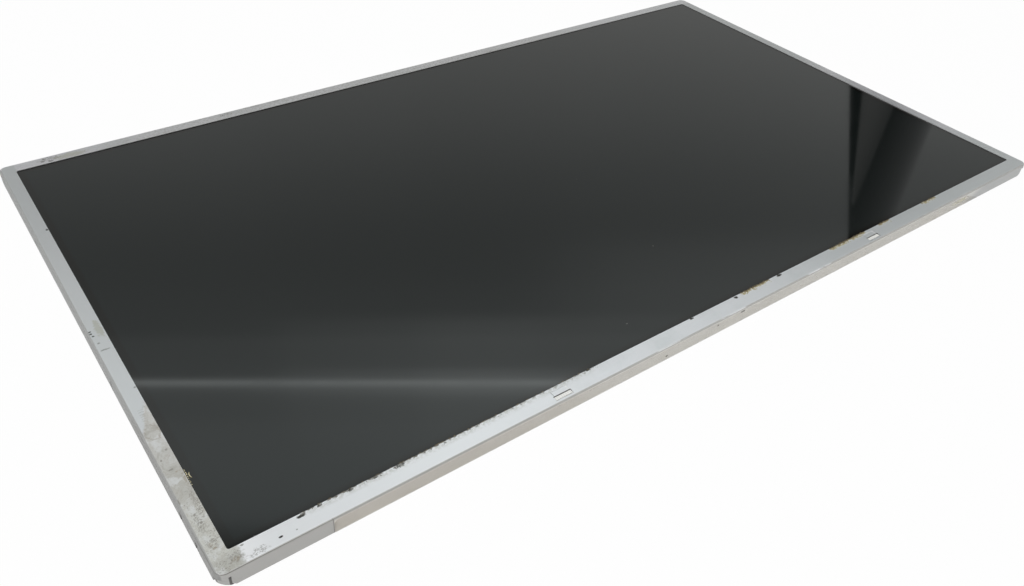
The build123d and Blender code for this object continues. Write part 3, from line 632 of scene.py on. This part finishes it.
def chip_finish():
    """Matt black resin with a shallow dimple in one corner of each package."""
    finish = Finish("chip_resin", srgb(40, 41, 43), 0.55)
    dimples = []
    for name in ("timing_controller_chip", "memory_chip", "power_chip", "backlight_driver_chip"):
        low, high = box_mm(name)
        inset = 0.16 * (high.y - low.y)
        dimples.append((low.x + inset, high.y - inset, inset * 0.4, inset * 0.4))
    dimple = finish.spots(dimples)
    grain = finish.noise(0.12, 3.0, 0.6)
    finish.mix(srgb(52, 53, 55), grain.ramp(0.4, 0.7))
    finish.mix(srgb(30, 30, 32), dimple)
    finish.drive("Roughness", dimple.ramp(0.0, 1.0, 0.58, 0.3))
    finish.bump(grain * 0.2 - dimple, 0.03, 0.5)
    return finish.material


def capacitor_finish():
    """Tan ceramic bodies with tinned ends."""
    pitch, length, cap = 4.0, 1.6, 0.32
    finish = Finish("capacitor_body", srgb(178, 150, 118), 0.5)
    along = finish.x.repeat(pitch, box_mm("ceramic_capacitors")[0].x)
    near_end = along.ramp(cap - 0.03, cap + 0.03, 1.0, 0.0)
    ends = near_end.either(along.ramp(length - cap - 0.03, length - cap + 0.03))
    finish.mix(srgb(160, 132, 102), finish.noise(0.8, 3.0, 0.6).ramp(0.4, 0.7))
    finish.mix(srgb(214, 214, 212), ends)
    finish.drive("Metallic", ends.ramp(0.0, 1.0, 0.0, 0.9))
    finish.drive("Roughness", ends.ramp(0.0, 1.0, 0.5, 0.3))
    return finish.material


def led_finish():
    """White packages with a yellow window on the side that faces the light guide."""
    finish = Finish("led_body", srgb(240, 239, 232), 0.4)
    face = finish.y.ramp(box_mm("led_packages")[1].y - 0.12, box_mm("led_packages")[1].y - 0.08)
    finish.mix(srgb(230, 214, 110), face)
    finish.mix(srgb(228, 227, 220), finish.noise(0.8, 3.0, 0.6).ramp(0.45, 0.7) * 0.5)
    finish.drive("Roughness", face.ramp(0.0, 1.0, 0.42, 0.2))
    return finish.material


def guide_finish():
    """Clear acrylic with rows of small white dots that turn the light upwards."""
    dot_pitch, dot_radius = 1.6, 0.35
    finish = Finish("guide_acrylic", srgb(232, 240, 242), 0.08, IOR=1.49, Transmission_Weight=0.6)
    along = finish.x.repeat(dot_pitch).apart(dot_pitch / 2)
    across = finish.y.repeat(dot_pitch).apart(dot_pitch / 2)
    dots = (along * along + across * across).math("SQRT").ramp(dot_radius, dot_radius + 0.1, 1.0, 0.0)
    finish.mix(srgb(250, 250, 250), dots)
    finish.drive("Roughness", dots.ramp(0.0, 1.0, 0.08, 0.7))
    return finish.material


def reflector_finish():
    """Satin white sheet with slow waves and faint scuffs."""
    finish = Finish("reflector_white", srgb(241, 242, 242), 0.5)
    waves = finish.noise(60.0, 2.0, 0.45)
    scuffs = finish.noise(5.0, 6.0, 0.7, stretch=(1, 4, 1))
    finish.mix(srgb(232, 233, 233), waves.ramp(0.4, 0.65) * 0.6)
    finish.mix(srgb(214, 215, 214), scuffs.ramp(0.62, 0.72) * 0.5)
    dust = finish.cells(9.0).ramp(0.012, 0.03, 1.0, 0.0)
    finish.mix(srgb(178, 176, 170), dust * 0.5)
    finish.drive("Roughness", scuffs.ramp(0.4, 0.7, 0.42, 0.6))
    finish.bump(waves * 6.0 + scuffs * 0.1, 0.08, 0.5)
    return finish.material


brushed = (14, 1, 1)
finishes = {
    "bezel_metal": bezel_finish(),
    "screen_face": screen_finish(),
    "white_plastic": frame_finish(),
    "insulating_film": film_finish(),
    "board_laminate": board_finish(),
    "flex_film": flex_finish("flex_film", False),
    "chip_resin": chip_finish(),
    "capacitor_body": capacitor_finish(),
    "led_body": led_finish(),
    "guide_acrylic": guide_finish(),
    "reflector_white": reflector_finish(),
    "cell_glass": plain_finish(
        "cell_glass", srgb(226, 238, 232), srgb(216, 232, 224), 0.05, 40.0, IOR=1.52, Transmission_Weight=0.7
    ),
    "polarizer_film": plain_finish("polarizer_film", srgb(86, 86, 90), srgb(78, 78, 83), 0.2, 30.0),
    "black_tape": plain_finish("black_tape", srgb(42, 42, 43), srgb(54, 54, 54), 0.6, 6.0),
    "optical_sheet": plain_finish(
        "optical_sheet", srgb(240, 242, 245), srgb(232, 235, 239), 0.4, 50.0, Alpha=0.8
    ),
    "clear_tape": plain_finish("clear_tape", srgb(230, 230, 224), srgb(220, 220, 212), 0.35, 10.0, Alpha=0.5),
    "channel_metal": plain_finish(
        "channel_metal", srgb(226, 227, 229), srgb(214, 215, 218), 0.32, 4.0, brushed, Metallic=0.95
    ),
    "bracket_steel": plain_finish(
        "bracket_steel", srgb(206, 206, 204), srgb(192, 192, 190), 0.36, 4.0, (1, 14, 1), Metallic=0.95
    ),
    "ferrite": plain_finish("ferrite", srgb(112, 112, 116), srgb(94, 94, 98), 0.6, 1.2),
    "socket_plastic": plain_finish("socket_plastic", srgb(230, 225, 211), srgb(220, 214, 198), 0.42, 5.0),
    "socket_shell": plain_finish(
        "socket_shell", srgb(218, 218, 220), srgb(204, 204, 206), 0.28, 3.0, brushed, Metallic=0.95
    ),
    "contact_metal": plain_finish(
        "contact_metal", srgb(236, 212, 148), srgb(222, 192, 122), 0.25, 2.0, Metallic=1.0
    ),
}
strip_finish = flex_finish("flex_film_strip", True)
for row in frame["record"]["subparts"]:
    node = nodes[row["node"]]
    node.data.materials.clear()
    lengthwise = row["node"] == "led_flex_strip"
    node.data.materials.append(strip_finish if lengthwise else finishes[row["material_slot"]])


# Adhesive left in the corner between the screen and the near and left edges of the window


def lump_finish(name, colour, shade):
    finish = Finish(name, colour, 0.55)
    finish.mix(shade, finish.noise(0.5, 4.0, 0.6).ramp(0.4, 0.65))
    finish.bump(finish.noise(0.2, 3.0, 0.6), 0.03, 0.6)
    return finish.material


lump_room = 0.04
on_screen = (screen_z + 0.01, front_z - 0.02)
in_notch = (0.02, hook_top - 0.07)


def lump(mesh, levels, middle, half, bend=0.0):
    """An uneven lump that lies between two levels, bent sideways along its length."""
    verts = bmesh.ops.create_icosphere(mesh, subdivisions=2, radius=1.0)["verts"]
    for vert in verts:
        out = vert.co.normalized()
        swell = 1.0 + 0.5 * noise.noise(out * 1.6 + Vector((*middle, 0.0)))
        place = Vector([part * size * swell for part, size in zip(out, half)])
        place.x += bend * (place.y / half[1]) ** 2
        place += Vector((*middle, levels[0] + 0.4 * half[2]))
        place.x = max(place.x, -side_wall_x + lump_room)
        place.z = min(max(place.z, levels[0]), levels[1])
        vert.co = place * MM


def lumps_piece(name, lumps, levels, material):
    mesh = bmesh.new()
    for values in lumps:
        lump(mesh, levels, *values)
    data = bpy.data.meshes.new(name)
    mesh.to_mesh(data)
    mesh.free()
    for face in data.polygons:
        face.use_smooth = True
    data.materials.append(material)
    obj = bpy.data.objects.new(name, data)
    bpy.context.scene.collection.objects.link(obj)
    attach(obj, "root")


draws = random.Random(41)
edge_lumps = []
for start, end, gap in ((-155.0, -127.0, 3.2), (-127.0, -96.0, 1.1), (-96.0, -60.0, 2.6), (5.5, 18.5, 1.2),
                        (53.0, 72.5, 0.9), (82.5, 88.0, 1.0), (110.5, 118.5, 1.0)):
    at = start
    while at < end:
        half = (draws.uniform(0.25, 0.7), draws.uniform(0.08, 0.2), draws.uniform(0.1, 0.22))
        edge_lumps.append(((at, opening_near + lump_room + 1.5 * half[1]), half))
        at += gap * draws.uniform(0.5, 1.5)
edge_finish = lump_finish("edge_adhesive", srgb(74, 66, 50), srgb(104, 94, 72))
lumps_piece("edge_adhesive", edge_lumps, on_screen, edge_finish)

crumb_finish = lump_finish("edge_crumbs", srgb(206, 198, 166), srgb(170, 158, 120))
crumbs = [
    ((-opening_x + 0.75, -71.9), (0.16, 1.1, 0.14), 0.35),
    ((-opening_x + 0.35, -71.2), (0.12, 0.6, 0.12), -0.1),
]
for step in range(9):
    half = (draws.uniform(0.1, 0.2), draws.uniform(0.12, 0.3), draws.uniform(0.08, 0.16))
    along = -69.4 - 0.7 * step + draws.uniform(-0.2, 0.2)
    crumbs.append(((-opening_x + lump_room + 1.5 * half[0], along), half))
lumps_piece("edge_crumbs", crumbs, on_screen, crumb_finish)

# Dark lumps in the notches at the foot of the left wall, a painted shade for the notches' shadow
notch_shade_lumps = [((-side_wall_x + 0.2, middle), (0.22, 0.8, 0.9)) for middle in hook_middles]
notch_shade_finish = lump_finish("notch_shade", srgb(66, 64, 60), srgb(88, 86, 82))
lumps_piece("notch_shade", notch_shade_lumps, in_notch, notch_shade_finish)


# Studio: pale floor, soft lamps, and the surroundings that the screen mirrors


def emission_material(name, layers, colours):
    """Light in layers, each with a strength by stops across a card and up it. The colour goes up it."""
    material = bpy.data.materials.new(name)
    material.use_nodes = True
    tree = material.node_tree
    tree.nodes.clear()
    uv = tree.nodes.new("ShaderNodeUVMap")
    split = tree.nodes.new("ShaderNodeSeparateXYZ")
    tree.links.new(uv.outputs["UV"], split.inputs["Vector"])
    emission = tree.nodes.new("ShaderNodeEmission")

    def level(axis, stops):
        curve = tree.nodes.new("ShaderNodeFloatCurve")
        points = curve.mapping.curves[0].points
        for place, stop in enumerate(stops):
            if place < 2:
                points[place].location = stop
            else:
                points.new(*stop)
        curve.mapping.use_clip = False
        curve.mapping.update()
        tree.links.new(split.outputs[axis], curve.inputs["Value"])
        return Field(tree, curve.outputs["Value"])

    strength = None
    for across, up in layers:
        layer = level("X", across) * level("Y", up)
        strength = strength + layer if strength else layer
    tree.links.new(strength.socket, emission.inputs["Strength"])
    ramp = tree.nodes.new("ShaderNodeValToRGB")
    ramp.color_ramp.elements[0].color = (*colours[0], 1.0)
    ramp.color_ramp.elements[1].color = (*colours[1], 1.0)
    tree.links.new(split.outputs["Y"], ramp.inputs["Fac"])
    tree.links.new(ramp.outputs["Color"], emission.inputs["Color"])
    output = tree.nodes.new("ShaderNodeOutputMaterial")
    tree.links.new(emission.outputs["Emission"], output.inputs["Surface"])
    return material


def card(name, corners, layers, colours):
    """A glowing card that lights the part and shows in its gloss, out of the camera's own sight."""
    mesh = bpy.data.meshes.new(name)
    mesh.from_pydata(corners, [], [(0, 1, 2, 3)])
    layer = mesh.uv_layers.new(name="UVMap")
    for loop, place in zip(layer.data, ((0, 0), (1, 0), (1, 1), (0, 1))):
        loop.uv = place
    mesh.materials.append(emission_material(name, layers, colours))
    obj = bpy.data.objects.new(name, mesh)
    bpy.context.scene.collection.objects.link(obj)
    obj.visible_camera = False
    return obj


steady = ((0.0, 1.0), (1.0, 1.0))
warm, cool, plain = (1.0, 0.985, 0.955), (0.87, 1.0, 1.02), (1.0, 1.0, 1.0)


def mirrored_card(name, corners, levels):
    """A card with a strength by stops across it that shows in gloss only."""
    obj = card(name, corners, [(levels, steady)], (plain, plain))
    obj.visible_diffuse = False


room_distance = 1.5
room_turn = math.radians(40.0)
room_away = Vector((math.sin(room_turn), math.cos(room_turn), 0.0))
room_along = Vector((math.cos(room_turn), -math.sin(room_turn), 0.0))


def on_room_wall(places, nearer=0.0):
    """Points of the room's far wall from (along, height) in metres."""
    foot = room_away * (room_distance - nearer)
    return [foot + room_along * along + Vector((0, 0, height)) for along, height in places]


# the far wall of the room brightens with height, with a bright line where it meets the ceiling
room_slope = -0.123
room_left, room_right = -2.0, 1.8
room_foot, room_top = 0.02, 3.2
room_corners = [
    (along, height + room_slope * along)
    for along, height in (
        (room_left, room_foot),
        (room_right, room_foot),
        (room_right, room_top),
        (room_left, room_top),
    )
]
room_levels = (
    (0.0, 0.60),
    (0.16, 0.59),
    (0.23, 0.53),
    (0.26, 0.48),
    (0.30, 0.405),
    (0.355, 0.35),
    (0.405, 0.40),
    (0.44, 0.46),
    (0.453, 0.58),
    (0.475, 0.62),
    (0.4945, 0.68),
    (0.501, 1.55),
    (0.5045, 2.4),
    (0.508, 1.6),
    (0.513, 1.05),
    (0.522, 0.88),
    (0.535, 0.83),
    (0.57, 0.92),
    (0.62, 0.95),
    (0.69, 0.90),
    (0.735, 0.55),
    (0.80, 0.22),
    (1.0, 0.20),
)
room_across = ((0.0, 0.74), (0.2, 0.79), (0.6, 0.95), (0.8, 1.10), (1.0, 1.20))
# a wide glow round the bright line, towards the right, and a weaker one below it at the far right
glow_levels = (
    (0.0, 0.0),
    (0.415, 0.0),
    (0.441, 0.28),
    (0.476, 0.25),
    (0.487, 0.36),
    (0.496, 0.66),
    (0.5045, 0.40),
    (0.513, 0.68),
    (0.522, 0.46),
    (0.534, 0.34),
    (0.57, 0.22),
    (0.65, 0.08),
    (1.0, 0.0),
)
glow_across = ((0.0, 0.0), (0.30, 0.0), (0.36, 0.3), (0.44, 0.62), (0.51, 0.92), (0.57, 0.70), (1.0, 0.7))
low_glow_levels = ((0.0, 0.0), (0.32, 0.0), (0.37, 0.14), (0.41, 0.17), (0.44, 0.06), (0.48, 0.0), (1.0, 0.0))
low_glow_across = ((0.0, 0.0), (0.48, 0.0), (0.56, 0.5), (0.65, 1.0), (1.0, 1.0))
room_layers = [(room_across, room_levels), (glow_across, glow_levels), (low_glow_across, low_glow_levels)]
card("room_wall", on_room_wall(room_corners), room_layers, (warm, cool))
dark_doorway = ((0.560, 0.30), (0.860, 0.30), (0.860, 1.30), (0.850, 1.30))
doorway_levels = ((0.0, 0.05), (0.84, 0.05), (1.0, 0.32))
card("dark_doorway", on_room_wall(dark_doorway, 0.01), [(doorway_levels, steady)], (plain, plain))
doorway_light = ((0.668, 0.57), (0.764, 0.57), (0.752, 0.92), (0.744, 0.92))
light_levels = ((0.0, 0.05), (0.25, 0.13), (0.6, 0.13), (1.0, 0.05))
card("doorway_light", on_room_wall(doorway_light, 0.02), [(light_levels, steady)], (warm, warm))

# dimmer sides of the room, which the folds of the bezel mirror
near_side_y = -1.6
near_side_card = [(x, near_side_y, z) for x, z in ((2.4, 0.05), (-1.6, 0.05), (-1.6, 2.0), (2.4, 2.0))]
mirrored_card("near_side", near_side_card, ((0.0, 0.12), (0.8, 0.12), (1.0, 1.0)))
left_side_x = -1.6
left_side_card = [(left_side_x, y, z) for y, z in ((-0.6, 0.05), (2.0, 0.05), (2.0, 1.6), (-0.6, 1.6))]
mirrored_card("left_side", left_side_card, ((0.0, 0.3), (1.0, 0.3)))


def seen_directly(tree):
    """1 for rays from the camera, and for what metal and glass show."""
    paths = tree.nodes.new("ShaderNodeLightPath")
    seen = Field(tree, paths.outputs["Is Camera Ray"])
    for ray in ("Is Glossy Ray", "Is Transmission Ray"):
        seen = seen.either(Field(tree, paths.outputs[ray]))
    return seen


floor_grey = 0.75
white_share = 0.97


def floor_material():
    """Matt white. Part of what the camera sees of it is plain white, so the shadow stays soft and pale."""
    material = bpy.data.materials.new("floor")
    material.use_nodes = True
    tree = material.node_tree
    surface = tree.nodes["Principled BSDF"]
    surface.inputs["Base Color"].default_value = (floor_grey, floor_grey, floor_grey, 1.0)
    surface.inputs["Roughness"].default_value = 0.9
    surface.inputs["Specular IOR Level"].default_value = 0.1
    glow = tree.nodes.new("ShaderNodeEmission")
    share = seen_directly(tree) * white_share
    mixer = tree.nodes.new("ShaderNodeMixShader")
    tree.links.new(share.socket, mixer.inputs["Fac"])
    tree.links.new(surface.outputs["BSDF"], mixer.inputs[1])
    tree.links.new(glow.outputs["Emission"], mixer.inputs[2])
    tree.links.new(mixer.outputs["Shader"], tree.nodes["Material Output"].inputs["Surface"])
    return material


floor_half = 6.0
floor_mesh = bpy.data.meshes.new("floor")
floor_corners = [(sx * floor_half, sy * floor_half, 0.0) for sx, sy in ((-1, -1), (1, -1), (1, 1), (-1, 1))]
floor_mesh.from_pydata(floor_corners, [], [(0, 1, 2, 3)])
floor_mesh.materials.append(floor_material())
floor = bpy.data.objects.new("floor", floor_mesh)
bpy.context.scene.collection.objects.link(floor)

world = bpy.data.worlds.new("studio")
bpy.context.scene.world = world
world.use_nodes = True
world_tree = world.node_tree
sky = world_tree.nodes["Background"]
sky.inputs["Color"].default_value = (1.0, 1.0, 1.0, 1.0)
sky_light = 0.45
sky_strength = seen_directly(world_tree).ramp(0.0, 1.0, sky_light, 1.0)
world_tree.links.new(sky_strength.socket, sky.inputs["Strength"])


def lamp(name, place, aim, width, height, power):
    """A soft lamp that lights matt surfaces and doesn't show in gloss."""
    data = bpy.data.lights.new(name, "AREA")
    data.shape = "RECTANGLE"
    data.size = width
    data.size_y = height
    data.energy = power
    obj = bpy.data.objects.new(name, data)
    bpy.context.scene.collection.objects.link(obj)
    obj.location = place
    obj.rotation_euler = (Vector(aim) - Vector(place)).to_track_quat("-Z", "Y").to_euler()
    obj.visible_glossy = False


lamp("key", (-0.30, -0.20, 0.90), (-0.10, -0.05, 0.0), 0.7, 0.7, 5.0)


# Camera

camera_place = Vector((-0.20171, -0.23122, 0.18805))
camera_aim = Vector((-0.06001, -0.05681, 0.00490))
camera_roll = math.radians(4.335)
camera_lens = 30.99
camera_data = bpy.data.cameras.new("camera")
camera_data.lens = camera_lens
camera_data.sensor_width = 36.0
camera_data.clip_start = 0.01
camera = bpy.data.objects.new("camera", camera_data)
bpy.context.scene.collection.objects.link(camera)
look = (camera_aim - camera_place).to_track_quat("-Z", "Y").to_matrix()
turned = look @ Matrix.Rotation(camera_roll, 3, "Z")
camera.matrix_world = Matrix.Translation(camera_place) @ turned.to_4x4()
bpy.context.scene.camera = camera
bpy.context.scene.view_settings.view_transform = "Standard"
